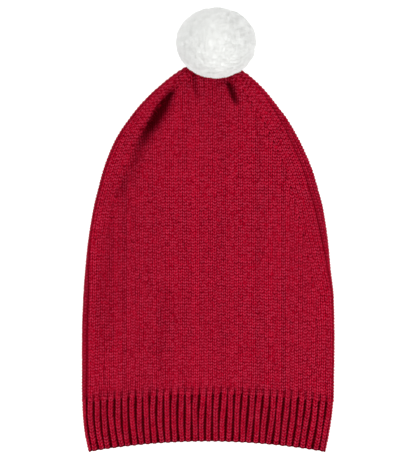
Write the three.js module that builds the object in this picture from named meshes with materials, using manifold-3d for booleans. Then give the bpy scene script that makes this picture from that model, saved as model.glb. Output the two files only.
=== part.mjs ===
// A child's knitted santa hat, lying flat on its back: a stockinette crown of two shaped panels
// sewn together at the sides, a ribbed cuff in two halves, and a fluffy pompom tied to the tip.
// Millimetres, +Z up. +Y runs from the hem to the pompom, and the back of the hat lies on Z = 0.
import * as THREE from "three";
import Module from "manifold-3d";
import { mergeVertices } from "three/addons/utils/BufferGeometryUtils.js";

const wasm = await Module();
wasm.setup();

// Sizes of the hat as it lies flat
const HALF_WIDTH = 101;
const CUFF_LENGTH = 41.5;
const CROWN_LENGTH = 268.5;
const KNIT_WALL = 2.6;
const FOLD_ROOM = 2; // radius inside the fold along each side
const EDGE_RADIUS = KNIT_WALL + FOLD_ROOM;
const PUFF_HEIGHT = 10; // how far the middle of the front stands above its sides
const HEM_ARC = 9.2; // how far the middle of the hem lies above its corners

// Ribs of the cuff
const RIB_PITCH = 5.65;
const RIB_DEPTH = 1.5;
const RIDGE_WIDTH = 3.2; // of each rib's flat top

// Seams, folds and gathers
const SEAM_INSET = 8; // the most that a seam lies in from the outline
const SEAM_DIP = 1; // how deep the seam's groove is
const SEAM_LIP = 2.2; // from the seam to where the knit is full again
const FOLD_DEPTH = 6;
const FOLD_WIDTH = 5;
const GATHER_DEPTH = 1.1;
const GATHER_COUNT = 7; // pleats drawn into the tip on the front

// Gaps between the pieces
const SEAM_GAP = 0.4;
const CUFF_GAP = 0.3;
const SEAT_GAP = 0.8; // round the tip and the tie, inside the pompom
const TIE_GAP = 0.4; // between the tie and the ring of the tip

// Pompom and the yarn that ties it on
const POMPOM_RADIUS_X = 31;
const POMPOM_RADIUS_Y = 28;
const POMPOM_RADIUS_Z = 27;
const POMPOM_SINK = 1; // how far its lowest locks are pressed flat by the table
const POMPOM_OFFSET_X = 5; // its middle lies this far to the right of the tip
const POMPOM_OVERLAP = 15; // how far its near side reaches back over the tip
const HEAD_SHARE = 0.92; // of the pompom's radii, inside the locks
const LOCK_COUNT = 46;
const LOCK_RADIUS = 8;
const LOCK_LENGTH = 10;
const TIE_RADIUS = 3;
const TIE_LENGTH = 18;
const TIP_RADIUS = TIE_RADIUS + TIE_GAP + KNIT_WALL / 3; // of the ring that the last course is drawn into
const TIP_LIFT = 8; // of the ring off the table

// The crown from the cuff to the tip. At is a share of CROWN_LENGTH, left and right of HALF_WIDTH,
// edge of EDGE_RADIUS, puff of PUFF_HEIGHT, lift of TIP_LIFT, and the two seams of SEAM_INSET.
const CROWN_SECTIONS = [
  { at: 0.0, left: 0.998, right: 0.99, edge: 1.0, puff: 0.95, lift: 0, seamLeft: 0.5, seamRight: 0.12 },
  { at: 0.18, left: 0.998, right: 0.996, edge: 1.0, puff: 1.0, lift: 0, seamLeft: 0.55, seamRight: 0.12 },
  { at: 0.3, left: 0.988, right: 0.99, edge: 1.0, puff: 1.0, lift: 0, seamLeft: 0.55, seamRight: 0.15 },
  { at: 0.385, left: 0.972, right: 0.966, edge: 1.0, puff: 1.0, lift: 0, seamLeft: 0.36, seamRight: 0.32 },
  { at: 0.475, left: 0.947, right: 0.943, edge: 1.0, puff: 0.98, lift: 0, seamLeft: 0.2, seamRight: 0.65 },
  { at: 0.563, left: 0.908, right: 0.907, edge: 1.0, puff: 0.96, lift: 0, seamLeft: 0.18, seamRight: 0.85 },
  { at: 0.622, left: 0.871, right: 0.867, edge: 1.0, puff: 0.95, lift: 0, seamLeft: 0.2, seamRight: 0.92 },
  { at: 0.681, left: 0.828, right: 0.82, edge: 1.02, puff: 0.95, lift: 0, seamLeft: 0.22, seamRight: 0.95 },
  { at: 0.741, left: 0.768, right: 0.752, edge: 1.06, puff: 0.95, lift: 0, seamLeft: 0.24, seamRight: 0.93 },
  { at: 0.782, left: 0.713, right: 0.697, edge: 1.1, puff: 0.96, lift: 0, seamLeft: 0.25, seamRight: 0.88 },
  { at: 0.83, left: 0.626, right: 0.622, edge: 1.16, puff: 0.97, lift: 0, seamLeft: 0.25, seamRight: 0.78 },
  { at: 0.871, left: 0.539, right: 0.539, edge: 1.25, puff: 0.92, lift: 0, seamLeft: 0.25, seamRight: 0.62 },
  { at: 0.907, left: 0.446, right: 0.464, edge: 1.4, puff: 0.77, lift: 0, seamLeft: 0.25, seamRight: 0.5 },
  { at: 0.942, left: 0.337, right: 0.372, edge: 1.62, puff: 0.5, lift: 0.03, seamLeft: 0.22, seamRight: 0.4 },
  { at: 0.96, left: 0.275, right: 0.314, edge: 1.76, puff: 0.32, lift: 0.12, seamLeft: 0.2, seamRight: 0.3 },
  { at: 0.978, left: 0.2, right: 0.234, edge: 1.82, puff: 0.15, lift: 0.3, seamLeft: 0.15, seamRight: 0.2 },
  { at: 0.991, left: 0.12, right: 0.145, edge: 1.6, puff: 0.03, lift: 0.56, seamLeft: 0.08, seamRight: 0.1 },
];
const TIP_OFFSET_X = 0.012; // of HALF_WIDTH, to the right of the hat's middle

// The cuff from the hem up. At is a share of CUFF_LENGTH, and its last row is the crown's first.
const CUFF_SECTIONS = [
  { at: 0, left: 0.95, right: 0.927, edge: 1.0, puff: 0.9, lift: 0, seamLeft: 0.38, seamRight: 0.12 },
  { at: 0.35, left: 0.98, right: 0.956, edge: 1.0, puff: 0.92, lift: 0, seamLeft: 0.42, seamRight: 0.12 },
  { at: 0.7, left: 0.995, right: 0.978, edge: 1.0, puff: 0.94, lift: 0, seamLeft: 0.46, seamRight: 0.12 },
  { ...CROWN_SECTIONS[0], at: 1 },
];

// Folds of the crown's front, which run lengthwise from their start down to their end. Those two are
// shares of CROWN_LENGTH, from, to and bow of the front's width, depth of FOLD_DEPTH and width of
// FOLD_WIDTH. A fold keeps its full depth for the share called full, and then runs out.
const FOLDS = [
  { name: "main", start: 0.945, end: 0.58, from: 0.16, to: 0.09, bow: 0.02, depth: 1.2, width: 0.7, full: 0.4 },
  { name: "left pucker", start: 0.965, end: 0.87, from: 0.28, to: 0.44, depth: 0.45, width: 0.4, full: 0.2 },
  { name: "right pucker", start: 0.957, end: 0.86, from: 0.67, to: 0.7, depth: 0.7, width: 0.5, full: 0.3 },
  { name: "left sag", start: 0.6, end: 0.2, from: 0.16, to: 0.13, depth: 0.22, width: 1, full: 0.3 },
  { name: "low crease", start: 0.34, end: 0.02, from: 0.32, to: 0.31, depth: 0.18, width: 1.1, full: 0.3 },
];
const FOLD_SPREAD = 1.6; // width of a fold's right bank, as a share of its left bank's
const FOLD_RUN_IN = { from: -0.05, to: 0.12 }; // where a fold deepens at its start, as shares of its length

// How finely the walls are stepped, and where the columns crowd: at is a share of the way across the
// panel, from the left seam on the front and from the right seam on the back
const CROWN_STEPS = 24;
const TIP_CROWDING = 1.8; // above 1, the crown's courses crowd towards the tip
const FRONT_COLUMNS = 32;
const FRONT_CROWDS = [
  { at: 0, extra: 4, spread: 0.03 },
  { at: 0.12, extra: 1.8, spread: 0.07 },
  { at: 1, extra: 4, spread: 0.03 },
];
const BACK_COLUMNS = 18;
const BACK_CROWDS = [
  { at: 0.03, extra: 8, spread: 0.045 },
  { at: 0.97, extra: 8, spread: 0.045 },
];
const CUFF_STEPS = 2;
const HEAD_SIDES = 20;
const HEAD_RINGS = 12;
const LOCK_SIDES = 7;
const LOCK_RINGS = 5;
const SEAT_SIDES = 56;
const TIE_SIDES = 12;

// Shares that shape the surface between the tables' rows
const PUFF_POWER = 2.5; // the higher, the flatter the middle of the front
const SIDE_REACH = 2; // of EDGE_RADIUS: folds and gathers fade out this close to the outline
const BOW_REACH = 0.6; // of CROWN_LENGTH: above it the courses run straight across
const GATHER_RISE = { from: 0.86, to: 0.965 }; // of CROWN_LENGTH, where the pleats deepen
const GATHER_FALL = { from: 0.97, to: 0.995 }; // and where they run into the ring
const SEAT_START = 0.9; // of CROWN_LENGTH: above it the pompom is hollowed for the tip
const TIP_TURN = 2; // the higher, the more squarely the ring's end faces up the hat

// One column of a table as a smooth function of how far up it is, which never overshoots its rows.
function follow(rows, column) {
  const x = rows.map((row) => row.at);
  const y = rows.map((row) => row[column]);
  const slope = x.slice(1).map((right, i) => (y[i + 1] - y[i]) / (right - x[i]));
  const tangent = y.map((_, i) => {
    if (i === 0 || i === slope.length) return slope[Math.min(i, slope.length - 1)];
    const [before, after] = [slope[i - 1], slope[i]];
    return before * after <= 0 ? 0 : (2 * before * after) / (before + after);
  });
  return (at) => {
    let i = 0;
    while (i < slope.length - 1 && at > x[i + 1]) i += 1;
    const step = x[i + 1] - x[i];
    const t = THREE.MathUtils.clamp((at - x[i]) / step, 0, 1);
    const rise = y[i + 1] - y[i];
    const early = step * tangent[i] - rise;
    const late = rise - step * tangent[i + 1];
    return y[i] + t * rise + t * (1 - t) * (early * (1 - t) + late * t);
  };
}

// A table as a function from a share of the length to that section's sizes in millimetres.
function sectionsOf(rows) {
  const columns = ["left", "right", "edge", "puff", "lift", "seamLeft", "seamRight"];
  const track = Object.fromEntries(columns.map((column) => [column, follow(rows, column)]));
  return (share) => {
    const left = -track.left(share) * HALF_WIDTH;
    const right = track.right(share) * HALF_WIDTH;
    const edge = track.edge(share) * EDGE_RADIUS;
    return {
      left,
      right,
      edge,
      puff: track.puff(share) * PUFF_HEIGHT,
      lift: track.lift(share) * TIP_LIFT,
      seamLeft: track.seamLeft(share) * SEAM_INSET,
      seamRight: track.seamRight(share) * SEAM_INSET,
      face: right - left - 2 * edge + Math.PI * edge, // the front's length round both side folds
    };
  };
}

const TIP_RING = {
  at: 1,
  left: TIP_RADIUS / HALF_WIDTH - TIP_OFFSET_X,
  right: TIP_RADIUS / HALF_WIDTH + TIP_OFFSET_X,
  edge: TIP_RADIUS / EDGE_RADIUS,
  puff: 0,
  lift: 1,
  seamLeft: 0,
  seamRight: 0,
};
const CUFF = { base: 0, length: CUFF_LENGTH, section: sectionsOf(CUFF_SECTIONS), folds: [] };
const CROWN = {
  base: CUFF_LENGTH,
  length: CROWN_LENGTH,
  section: sectionsOf([...CROWN_SECTIONS, TIP_RING]),
  folds: FOLDS,
};

// How far a course bows up in the middle: most at the hem, and not at all in the upper crown.
function courseBow(y, across) {
  const bowedLength = CUFF_LENGTH + BOW_REACH * CROWN_LENGTH;
  return HEM_ARC * Math.max(0, 1 - y / bowedLength) * (1 - across * across);
}

// How deep the folds press the front in, at a share of the length and at x across a section.
function foldDip(folds, share, section, x) {
  let dip = 0;
  for (const fold of folds) {
    const along = (fold.start - share) / (fold.start - fold.end);
    const t = THREE.MathUtils.clamp(along, 0, 1);
    const across = THREE.MathUtils.lerp(fold.from, fold.to, t) + (fold.bow ?? 0) * 4 * t * (1 - t);
    const line = THREE.MathUtils.lerp(section.left, section.right, across);
    const bank = fold.width * FOLD_WIDTH * (x > line ? FOLD_SPREAD : 1);
    const runOut = 1 - THREE.MathUtils.smoothstep(along, fold.full, 1);
    const runIn = THREE.MathUtils.smoothstep(along, FOLD_RUN_IN.from, FOLD_RUN_IN.to);
    dip += fold.depth * FOLD_DEPTH * runIn * runOut * Math.exp(-(((x - line) / bank) ** 2));
  }
  return dip;
}

// Ripples of the gathered top, as a share of the way up and of the way out from the middle.
function gatherRipple(share, across) {
  const { smoothstep } = THREE.MathUtils;
  const rise = smoothstep(share, GATHER_RISE.from, GATHER_RISE.to);
  const strength = rise * (1 - smoothstep(share, GATHER_FALL.from, GATHER_FALL.to));
  return GATHER_DEPTH * strength * Math.cos(Math.PI * GATHER_COUNT * across);
}

// The outside of the hat. Share runs up the piece, and turn runs once round it: 0 to 1 over the front
// from the left side's outermost line to the right one's, and 1 to 2 back under the hat.
function outside(piece, share, turn) {
  const section = piece.section(share);
  const { left, right, edge, lift, face } = section;
  const isFront = turn < 1;
  const fromLeft = face * (isFront ? turn : 2 - turn);
  const fromSide = Math.min(fromLeft, face - fromLeft);
  const bend = Math.min(fromSide / edge, Math.PI / 2);
  const inset = edge * (1 - Math.cos(bend)) + Math.max(0, fromSide - (edge * Math.PI) / 2);
  const x = fromLeft < face / 2 ? left + inset : right - inset;
  const halfWidth = (right - left) / 2;
  const across = (x - (left + right) / 2) / halfWidth;
  const y = piece.base + share * piece.length;
  let z = lift + edge - edge * Math.sin(bend);
  if (isFront) {
    const onTop = Math.min(1, (Math.abs(across) * halfWidth) / Math.max(1e-3, halfWidth - edge));
    const ripple = piece === CROWN ? gatherRipple(share, across) : 0;
    const clearOfSides = THREE.MathUtils.smoothstep(inset, 0, SIDE_REACH * edge);
    z = lift + edge + edge * Math.sin(bend) + section.puff * (1 - onTop ** PUFF_POWER);
    z += (ripple - foldDip(piece.folds, share, section, x)) * clearOfSides;
  }
  return new THREE.Vector3(x, y + courseBow(y, across), z);
}

function outwardNormal(piece, share, turn) {
  const step = 1e-3; // of the length and of a turn, to either side
  const round = (value) => (value + 2) % 2;
  const above = outside(piece, Math.min(1, share + step), turn);
  const up = above.sub(outside(piece, Math.max(0, share - step), turn));
  const over = outside(piece, share, round(turn + step)).sub(outside(piece, share, round(turn - step)));
  const normal = over.cross(up).normalize();
  // The ring at the tip is drawn in until its end faces up the hat.
  if (piece === CROWN && share === 1) normal.y += TIP_TURN;
  return normal.normalize();
}

// Arc length round a side fold, from its outermost line to a point this far in from the outline.
function arcToInset(inset, edge) {
  return inset < edge ? edge * Math.acos(1 - inset / edge) : edge * (Math.PI / 2 - 1) + inset;
}

// The two seams of a section, by arc length in the direction that turn runs.
function seamArcs(section, isFront) {
  const left = arcToInset(section.seamLeft, section.edge);
  const right = section.face - arcToInset(section.seamRight, section.edge);
  return isFront ? [left, right] : [right, 2 * section.face + left];
}

// Shares from 0 to 1 that lie closer together round the places where they crowd.
function crowdedShares(count, crowds) {
  const fine = 400;
  const sums = [0];
  for (let i = 0; i < fine; i += 1) {
    const at = (i + 0.5) / fine;
    const extra = crowds.map((crowd) => crowd.extra * Math.exp(-(((at - crowd.at) / crowd.spread) ** 2)));
    sums.push(sums[i] + 1 + extra.reduce((sum, value) => sum + value, 0));
  }
  const shares = [];
  let i = 0;
  for (let step = 0; step <= count; step += 1) {
    const target = (step / count) * sums[fine];
    while (i < fine - 1 && sums[i + 1] < target) i += 1;
    shares.push((i + (target - sums[i]) / (sums[i + 1] - sums[i])) / fine);
  }
  return shares;
}

// One half of the crown or the cuff as a wall. Each column has its place from seam to seam as a share
// plus a distance, how far its outside and its inside are sunk, and how far it is shifted sideways.
function panelGeometry(piece, isFront, shares, columns) {
  const outer = [];
  const inner = [];
  for (const share of shares) {
    const section = piece.section(share);
    const [from, to] = seamArcs(section, isFront);
    const spots = columns.map(({ at, plus, outsideSunk, insideSunk, shift }) => {
      const turn = ((THREE.MathUtils.lerp(from, to, at) + plus) / section.face) % 2;
      const normal = outwardNormal(piece, share, turn);
      const over = new THREE.Vector3(0, 1, 0).cross(normal).normalize();
      const point = outside(piece, share, turn).addScaledVector(over, shift);
      return [outsideSunk, insideSunk].map((sunk) => point.clone().addScaledVector(normal, -sunk));
    });
    outer.push(spots.map((spot) => spot[0]));
    inner.push(spots.map((spot) => spot[1]));
  }
  return wallGeometry(outer, inner);
}

// A closed wall between an outer and an inner grid of points, with its four edges.
function wallGeometry(outer, inner) {
  const rows = outer.length;
  const columns = outer[0].length;
  const index = [];
  const at = (layer, i, j) => layer * rows * columns + i * columns + j;
  const quad = (a, b, c, d) => index.push(a, b, c, a, c, d);
  for (let i = 0; i < rows - 1; i += 1) {
    for (let j = 0; j < columns - 1; j += 1) {
      quad(at(0, i, j), at(0, i, j + 1), at(0, i + 1, j + 1), at(0, i + 1, j));
      quad(at(1, i, j), at(1, i + 1, j), at(1, i + 1, j + 1), at(1, i, j + 1));
    }
    quad(at(0, i, 0), at(0, i + 1, 0), at(1, i + 1, 0), at(1, i, 0));
    quad(at(0, i, columns - 1), at(1, i, columns - 1), at(1, i + 1, columns - 1), at(0, i + 1, columns - 1));
  }
  for (let j = 0; j < columns - 1; j += 1) {
    quad(at(0, 0, j), at(1, 0, j), at(1, 0, j + 1), at(0, 0, j + 1));
    quad(at(0, rows - 1, j), at(0, rows - 1, j + 1), at(1, rows - 1, j + 1), at(1, rows - 1, j));
  }
  return meshGeometry([...outer.flat(), ...inner.flat()].flatMap((p) => [p.x, p.y, p.z]), index);
}

function meshGeometry(positions, index) {
  const geometry = new THREE.BufferGeometry();
  geometry.setAttribute("position", new THREE.Float32BufferAttribute(positions, 3));
  geometry.setIndex(index);
  geometry.computeVertexNormals();
  return geometry;
}

// Half the seam's gap, to the right at a panel's first column and to the left at its last.
function seamShift(at) {
  return at === 0 ? SEAM_GAP / 2 : at === 1 ? -SEAM_GAP / 2 : 0;
}

// One half of the crown, from just above the cuff to the ring at the tip.
function crownPanel(isFront) {
  const places = isFront
    ? crowdedShares(FRONT_COLUMNS - 2, FRONT_CROWDS)
    : crowdedShares(BACK_COLUMNS - 2, BACK_CROWDS);
  const edge = (at) => ({ at, plus: 0, outsideSunk: SEAM_DIP, insideSunk: KNIT_WALL, shift: seamShift(at) });
  const full = (at) => ({ ...edge(at), plus: SEAM_LIP * (1 - 2 * at), outsideSunk: 0, shift: 0 });
  return panelGeometry(CROWN, isFront, crownShares(), [edge(0), ...places.map(full), edge(1)]);
}

// One half of the cuff, pleated into ribs with a groove at each seam.
function cuffPanel(isFront) {
  const [from, to] = seamArcs(CUFF.section(1), isFront);
  const ribs = Math.round((to - from) / RIB_PITCH);
  const shoulder = (1 - RIDGE_WIDTH / RIB_PITCH) / 2; // of a rib, from the groove to the ridge's flat top
  const ridge = (at) => ({ at, plus: 0, outsideSunk: 0, insideSunk: KNIT_WALL, shift: 0 });
  const sunk = { outsideSunk: RIB_DEPTH, insideSunk: KNIT_WALL + RIB_DEPTH / 3 };
  const groove = (at) => ({ ...ridge(at), ...sunk, shift: seamShift(at) });
  const columns = [groove(0)];
  for (let i = 0; i < ribs; i += 1) {
    columns.push(ridge((i + shoulder) / ribs), ridge((i + 1 - shoulder) / ribs), groove((i + 1) / ribs));
  }
  const shares = Array.from({ length: CUFF_STEPS + 1 }, (_, i) => i / CUFF_STEPS);
  return panelGeometry(CUFF, isFront, shares, columns);
}

// A geometry's faces as a manifold-3d solid, and back again.
function toSolid(geometry) {
  const bare = geometry.clone();
  bare.deleteAttribute("normal");
  bare.deleteAttribute("uv");
  const merged = mergeVertices(bare, 1e-4);
  const vertProperties = new Float32Array(merged.attributes.position.array);
  const triVerts = new Uint32Array(merged.index.array);
  return new wasm.Manifold(new wasm.Mesh({ numProp: 3, vertProperties, triVerts }));
}

function toGeometry(solid) {
  const mesh = solid.getMesh();
  return meshGeometry(Array.from(mesh.vertProperties), Array.from(mesh.triVerts));
}

// Rows of the crown, from just above the cuff to the ring at the tip.
function crownShares() {
  const first = CUFF_GAP / CROWN_LENGTH;
  const steps = Array.from({ length: CROWN_STEPS + 1 }, (_, i) => i / CROWN_STEPS);
  return steps.map((step) => first + (1 - first) * (1 - (1 - step) ** TIP_CROWDING));
}

// The outside of the crown's upper end as one closed body, grown by a gap on every side.
function tipEnvelope(gap) {
  const shares = crownShares().filter((share) => share > SEAT_START);
  const rings = shares.length - 1;
  const positions = [];
  const index = [];
  for (const share of shares) {
    for (let j = 0; j < SEAT_SIDES; j += 1) {
      const turn = (2 * j) / SEAT_SIDES;
      const point = outside(CROWN, share, turn).addScaledVector(outwardNormal(CROWN, share, turn), gap);
      positions.push(point.x, point.y, point.z);
    }
  }
  for (let i = 0; i < rings; i += 1) {
    for (let j = 0; j < SEAT_SIDES; j += 1) {
      const [a, b] = [i * SEAT_SIDES + j, i * SEAT_SIDES + ((j + 1) % SEAT_SIDES)];
      index.push(a, b, b + SEAT_SIDES, a, b + SEAT_SIDES, a + SEAT_SIDES);
    }
  }
  for (let j = 1; j < SEAT_SIDES - 1; j += 1) {
    index.push(0, j + 1, j);
    index.push(rings * SEAT_SIDES, rings * SEAT_SIDES + j, rings * SEAT_SIDES + j + 1);
  }
  return toSolid(meshGeometry(positions, index));
}

// The tie's axis runs along Y through the middle of the ring at the tip.
const TIP = new THREE.Vector3(TIP_OFFSET_X * HALF_WIDTH, CUFF_LENGTH + CROWN_LENGTH, TIP_LIFT + TIP_RADIUS);

function tieGeometry(grown) {
  const radius = TIE_RADIUS + grown;
  const length = TIE_LENGTH + 2 * grown;
  return new THREE.CylinderGeometry(radius, radius, length, TIE_SIDES).translate(TIP.x, TIP.y, TIP.z);
}

// The pompom: a round head with locks of yarn fused all over it, pressed flat where it lies on the
// table and hollowed where the crown's tip and the tie push into it.
function pompomGeometry() {
  const radii = new THREE.Vector3(POMPOM_RADIUS_X, POMPOM_RADIUS_Y, POMPOM_RADIUS_Z);
  const centre = new THREE.Vector3(
    TIP.x + POMPOM_OFFSET_X,
    TIP.y - POMPOM_OVERLAP + POMPOM_RADIUS_Y,
    POMPOM_RADIUS_Z - POMPOM_SINK,
  );
  const head = new THREE.SphereGeometry(HEAD_SHARE, HEAD_SIDES, HEAD_RINGS).scale(radii.x, radii.y, radii.z);
  let solid = toSolid(head.translate(centre.x, centre.y, centre.z));
  const goldenAngle = Math.PI * (3 - Math.sqrt(5));
  for (let i = 0; i < LOCK_COUNT; i += 1) {
    const z = 1 - (2 * i + 1) / LOCK_COUNT;
    const ring = Math.sqrt(1 - z * z);
    const out = new THREE.Vector3(ring * Math.cos(i * goldenAngle), ring * Math.sin(i * goldenAngle), z);
    const tip = out.clone().multiply(radii);
    const middle = tip.clone().setLength(tip.length() - LOCK_LENGTH).add(centre);
    const lock = new THREE.SphereGeometry(1, LOCK_SIDES, LOCK_RINGS).scale(LOCK_RADIUS, LOCK_LENGTH, LOCK_RADIUS);
    const lean = new THREE.Quaternion().setFromUnitVectors(THREE.Object3D.DEFAULT_UP, tip.normalize());
    lock.applyQuaternion(lean);
    solid = solid.add(toSolid(lock.translate(middle.x, middle.y, middle.z)));
  }
  const slabDepth = 2 * POMPOM_RADIUS_Z;
  const table = new THREE.BoxGeometry(4 * radii.x, 4 * radii.y, slabDepth);
  solid = solid.subtract(toSolid(table.translate(centre.x, centre.y, -slabDepth / 2)));
  solid = solid.subtract(tipEnvelope(SEAT_GAP)).subtract(toSolid(tieGeometry(SEAT_GAP)));
  return toGeometry(solid);
}

const redKnit = new THREE.MeshStandardMaterial({ color: 0x9c122b, roughness: 0.95, metalness: 0 });
const redRib = new THREE.MeshStandardMaterial({ color: 0x94122a, roughness: 0.95, metalness: 0 });
const whiteFluff = new THREE.MeshStandardMaterial({ color: 0xeaece7, roughness: 1, metalness: 0 });

function piece(name, geometry, material) {
  const mesh = new THREE.Mesh(geometry, material);
  mesh.name = name;
  return mesh;
}

const hat = new THREE.Group();
hat.name = "santa_hat";
hat.add(piece("crown_front", crownPanel(true), redKnit));
hat.add(piece("crown_back", crownPanel(false), redKnit));
hat.add(piece("cuff_front", cuffPanel(true), redRib));
hat.add(piece("cuff_back", cuffPanel(false), redRib));
hat.add(piece("pompom", pompomGeometry(), whiteFluff));
hat.add(piece("pompom_tie", tieGeometry(0), redKnit));

// The origin is the middle of the hat's footprint, on the table.
const footprint = new THREE.Box3().setFromObject(hat).getCenter(new THREE.Vector3());
hat.position.set(-footprint.x, -footprint.y, 0);

export default hat;
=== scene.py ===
# %% [markdown]
# # A knitted santa hat, lying flat
#
# A child's hat of red yarn: a stockinette crown of two panels sewn at the sides, a deep ribbed
# cuff, and a white pompom at the gathered tip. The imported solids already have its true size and
# form. This script dresses them with what a solid can't show: every stitch, the ribs, the seams
# and the pile. It works in millimetres and turns them into metres when a mesh is made.

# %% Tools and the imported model
import math
from collections import namedtuple

import bmesh
import bpy
import numpy as np
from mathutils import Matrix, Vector


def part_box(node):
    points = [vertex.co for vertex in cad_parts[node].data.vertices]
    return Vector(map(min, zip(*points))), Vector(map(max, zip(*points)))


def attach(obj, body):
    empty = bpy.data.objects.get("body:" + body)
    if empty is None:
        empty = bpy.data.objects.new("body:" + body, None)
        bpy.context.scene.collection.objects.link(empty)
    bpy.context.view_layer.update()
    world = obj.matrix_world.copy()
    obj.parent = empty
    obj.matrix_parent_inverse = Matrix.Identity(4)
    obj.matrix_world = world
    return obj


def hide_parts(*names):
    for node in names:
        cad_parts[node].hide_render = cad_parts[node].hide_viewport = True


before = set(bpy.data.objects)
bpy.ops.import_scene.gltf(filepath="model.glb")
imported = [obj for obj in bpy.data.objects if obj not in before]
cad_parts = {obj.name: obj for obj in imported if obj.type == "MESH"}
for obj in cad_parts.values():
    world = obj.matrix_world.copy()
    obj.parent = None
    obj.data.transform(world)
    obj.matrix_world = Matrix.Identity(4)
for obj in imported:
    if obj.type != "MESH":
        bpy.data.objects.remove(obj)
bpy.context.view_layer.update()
MM = 0.001

# %% [markdown]
# ## Camera, floor and light
#
# The hat was photographed from straight above on a white ground, in an even light: no shadow
# shows beside it, and only the folds and the grooves of the ribs are dark. The pompom is a little
# darker at its top, so one weak lamp hangs below the middle of the picture. A long lens keeps the
# outline free of perspective, as from a camera high on a stand. The floor glows faintly, so that
# it stays white round the hat as in a product picture.

# %% Camera
LENS = 200
SENSOR = 36
PICTURE_HEIGHT = 364.4 * MM  # what the long side of the picture takes in, at the outline's height
PICTURE_MIDDLE = Vector((0.3, 0.9, 5)) * MM

camera_data = bpy.data.cameras.new("overhead_camera")
camera_data.lens = LENS
camera_data.sensor_width = SENSOR
camera = bpy.data.objects.new("overhead_camera", camera_data)
camera.location = PICTURE_MIDDLE + Vector((0, 0, LENS / SENSOR * PICTURE_HEIGHT))
bpy.context.scene.collection.objects.link(camera)
bpy.context.scene.camera = camera
print("The camera hangs", round(camera.location.z, 2), "m above the floor")

# %% [markdown]
# A finish is a small network of shader nodes. Two classes let it be written as sums and products:
# a wire is what comes out of a node, and a board holds the nodes of one finish.


# %% Shader boards: nodes written as expressions
class Wire:
    """A shader socket that Python's own signs can reckon with."""

    def __init__(self, board, socket):
        self.board = board
        self.socket = socket

    def reckon(self, operation, *terms, clamp=False):
        settings = {"operation": operation, "use_clamp": clamp}
        return self.board.add("ShaderNodeMath", settings, dict(enumerate(terms)))

    def __add__(self, other):
        return self.reckon("ADD", self, other)

    def __sub__(self, other):
        return self.reckon("SUBTRACT", self, other)

    def __rsub__(self, other):
        return self.reckon("SUBTRACT", other, self)

    def __mul__(self, other):
        return self.reckon("MULTIPLY", self, other)

    def sine(self):
        return self.reckon("SINE", self)

    def clamped(self):
        return self.reckon("ADD", self, 0.0, clamp=True)

    __radd__ = __add__
    __rmul__ = __mul__


class Board:
    """The nodes of one material. A socket is named by its name or its number."""

    def __init__(self, name):
        self.material = bpy.data.materials.new(name)
        self.material.use_nodes = True
        self.tree = self.material.node_tree
        self.tree.nodes.clear()

    def add(self, kind, settings=None, sockets=None, out=0):
        node = self.tree.nodes.new(kind)
        for name, value in (settings or {}).items():
            setattr(node, name, value)
        for name, value in (sockets or {}).items():
            if isinstance(value, Wire):
                self.tree.links.new(value.socket, node.inputs[name])
            else:
                node.inputs[name].default_value = value
        return Wire(self, node.outputs[out]) if node.outputs else None

    def attribute(self, name):
        return self.add("ShaderNodeAttribute", {"attribute_name": name}, out="Fac")

    def split(self, vector):
        """The X and Y of a vector as two numbers."""
        parts = self.add("ShaderNodeSeparateXYZ", None, {0: vector}).socket.node.outputs
        return Wire(self, parts[0]), Wire(self, parts[1])

    def noise(self, place, scale, detail=2.0):
        return self.add("ShaderNodeTexNoise", None, {"Vector": place, "Scale": scale, "Detail": detail})

    def mix(self, factor, first, second):
        return self.add(
            "ShaderNodeMix", {"data_type": "RGBA"}, {0: factor, 6: first, 7: second}, out=2
        )

    def brighten(self, colour, amount):
        return self.add("ShaderNodeVectorMath", {"operation": "SCALE"}, {0: colour, "Scale": amount})

    def bump(self, height, distance, strength=1.0):
        sockets = {"Height": height, "Distance": distance, "Strength": strength}
        return self.add("ShaderNodeBump", None, sockets)

    def finish(self, **sockets):
        named = {name.replace("_", " "): value for name, value in sockets.items()}
        shader = self.add("ShaderNodeBsdfPrincipled", None, named)
        self.add("ShaderNodeOutputMaterial", None, {"Surface": shader})
        return self.material


# %% Floor and light
WORLD_LIGHT = 1.56
KEY_WATTS = 2.5
KEY_PLACE = Vector((0.15, -0.45, 1.2))
KEY_SIZE = 0.7
FLOOR_HALF = 3
FLOOR_GREY = (0.4, 0.4, 0.4, 1)
FLOOR_GLOW = 0.75
WHITE = (1, 1, 1, 1)

floor_board = Board("white_ground")
floor_finish = floor_board.finish(
    Base_Color=FLOOR_GREY,
    Roughness=0.9,
    Emission_Color=WHITE,
    Emission_Strength=FLOOR_GLOW,
)
floor_mesh = bpy.data.meshes.new("floor")
sheet = bmesh.new()
bmesh.ops.create_grid(sheet, x_segments=1, y_segments=1, size=FLOOR_HALF)
sheet.to_mesh(floor_mesh)
sheet.free()
floor_mesh.materials.append(floor_finish)
floor = bpy.data.objects.new("floor", floor_mesh)
bpy.context.scene.collection.objects.link(floor)

world = bpy.data.worlds.new("soft_box")
world.use_nodes = True
sky = world.node_tree.nodes["Background"]
sky.inputs["Color"].default_value = WHITE
sky.inputs["Strength"].default_value = WORLD_LIGHT
bpy.context.scene.world = world

key_data = bpy.data.lights.new("low_softbox", "AREA")
key_data.energy = KEY_WATTS
key_data.size = KEY_SIZE
key = bpy.data.objects.new("low_softbox", key_data)
key.location = KEY_PLACE
key.rotation_euler = (-KEY_PLACE).to_track_quat("-Z", "Y").to_euler()
bpy.context.scene.collection.objects.link(key)
bpy.context.scene.view_settings.view_transform = "Standard"

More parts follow.
